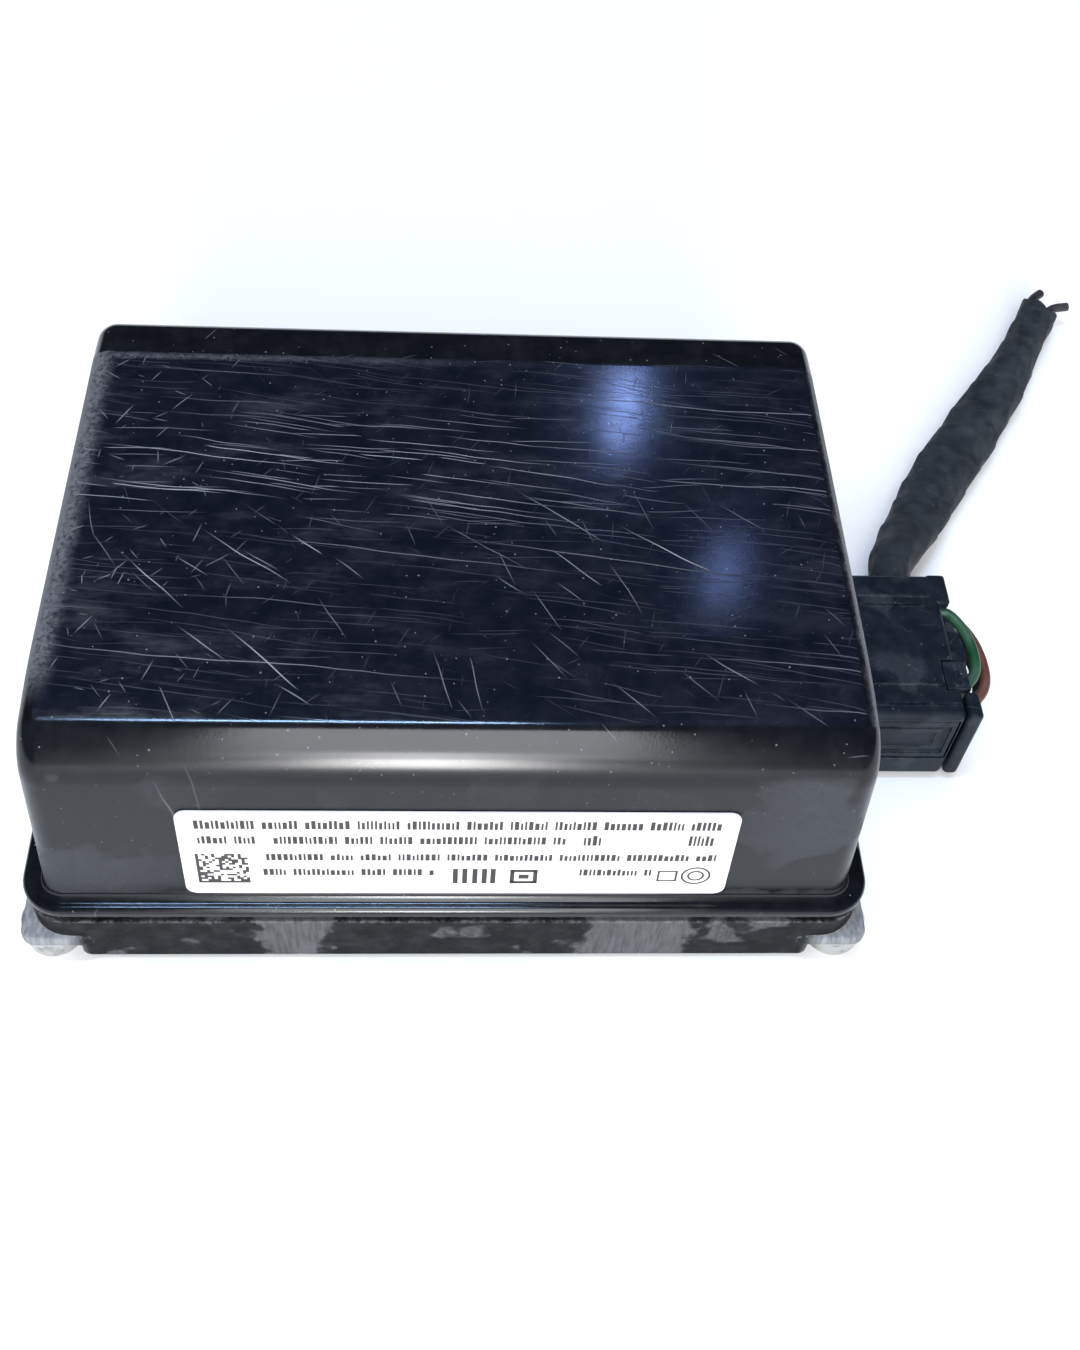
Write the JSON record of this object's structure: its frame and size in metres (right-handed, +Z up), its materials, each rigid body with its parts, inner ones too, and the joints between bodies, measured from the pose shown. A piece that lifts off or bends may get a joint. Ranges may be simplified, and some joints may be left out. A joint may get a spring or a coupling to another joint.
{
  "type": "scanning radar sensor",
  "caption": "Closed box-shaped scanning sensor with a glossy cover over a cast base, a spinning antenna drum inside and a sealed side plug with a short cut harness.",
  "frame": {"origin": "centre of the plane that the four mounting bosses stand on, under the middle of the sensor with its connector header", "axes": "+Z up through the radome, +X out of the connector, -Y towards the label"},
  "size_m": [0.1894, 0.1474, 0.049],
  "materials": {
    "radome": "moulded glossy black, scratched on top",
    "base_casting": "black coated die casting, worn grey in places",
    "rubber": "matt",
    "label": null,
    "steel": "bare",
    "vent": "matt",
    "circuit_board": "solder mask",
    "chip": "moulded epoxy",
    "aluminium": "machined",
    "thermal_pad": "soft filled silicone",
    "header_plastic": "moulded",
    "contact": "tin plated",
    "stator": "wound copper",
    "magnet": "sintered",
    "dielectric": "natural polymer",
    "plug_plastic": "moulded, dusty",
    "plug_seal": "silicone",
    "wire_green": "cable insulation",
    "wire_brown": "cable insulation",
    "wire_dark": "cable insulation",
    "wire_grey": "cable insulation",
    "harness_tape": "cloth harness tape"
  },
  "bodies": {
    "housing": {"radome": "radome", "base_casting": "base_casting", "perimeter_seal": "rubber", "rating_label": "label", "mounting_boss_1": "steel", "mounting_boss_2": "steel", "mounting_boss_3": "steel", "mounting_boss_4": "steel", "board_screw_1": "steel", "board_screw_2": "steel", "board_screw_3": "steel", "board_screw_4": "steel", "frame_screw_1": "steel", "frame_screw_2": "steel", "frame_screw_3": "steel", "frame_screw_4": "steel", "drum_bearing_left": "steel", "drum_bearing_right": "steel", "radio_shield": "steel", "twist_reflector": "steel", "vent_plug": "vent", "main_board": "circuit_board", "radio_board": "circuit_board", "processor_chip": "chip", "position_sensor": "chip", "power_capacitor": "aluminium", "bearing_frame": "aluminium", "thermal_pad": "thermal_pad", "connector_header": "header_plastic", "contact_pin_1": "contact", "contact_pin_2": "contact", "contact_pin_3": "contact", "contact_pin_4": "contact", "contact_pin_5": "contact", "contact_pin_6": "contact", "contact_pin_7": "contact", "contact_pin_8": "contact", "motor_stator": "stator", "dielectric_rod": "dielectric", "polariser_grid": "dielectric"},
    "drum": {"scan_drum": "aluminium", "drum_shaft": "steel", "rotor_magnet": "magnet", "encoder_disc": "steel"},
    "plug": {"plug_housing": "plug_plastic", "wire_cover": "plug_plastic", "plug_seal": "plug_seal", "wire_green": "wire_green", "wire_brown": "wire_brown", "wire_black": "wire_dark", "wire_grey": "wire_grey", "harness_stub": "harness_tape", "cut_wire_1": "wire_dark", "cut_wire_2": "wire_dark", "cut_wire_3": "wire_dark"},
    "latch": {"latch_arm": "plug_plastic"},
    "lock": {"lock_slide": "plug_plastic"}
  },
  "joints": [
    {"name": "drum_spin", "type": "hinge", "parent": "housing", "child": "drum", "pos_m": [-0.00415, 0.018, 0.0285], "axis": [1, 0, 0], "continuous": true},
    {"name": "plug_pull", "type": "slide", "parent": "housing", "child": "plug", "axis": [1, 0, 0], "range_m": [0, 0.014]},
    {"name": "latch_press", "type": "hinge", "parent": "plug", "child": "latch", "pos_m": [0.06635, -0.0113, 0.0115], "axis": [0, 0, 1], "range_deg": [0, 4], "stiffness_Nm_per_rad": 0.5},
    {"name": "lock_release", "type": "slide", "parent": "plug", "child": "lock", "axis": [1, 0, 0], "range_m": [0, 0.0025]}
  ]
}
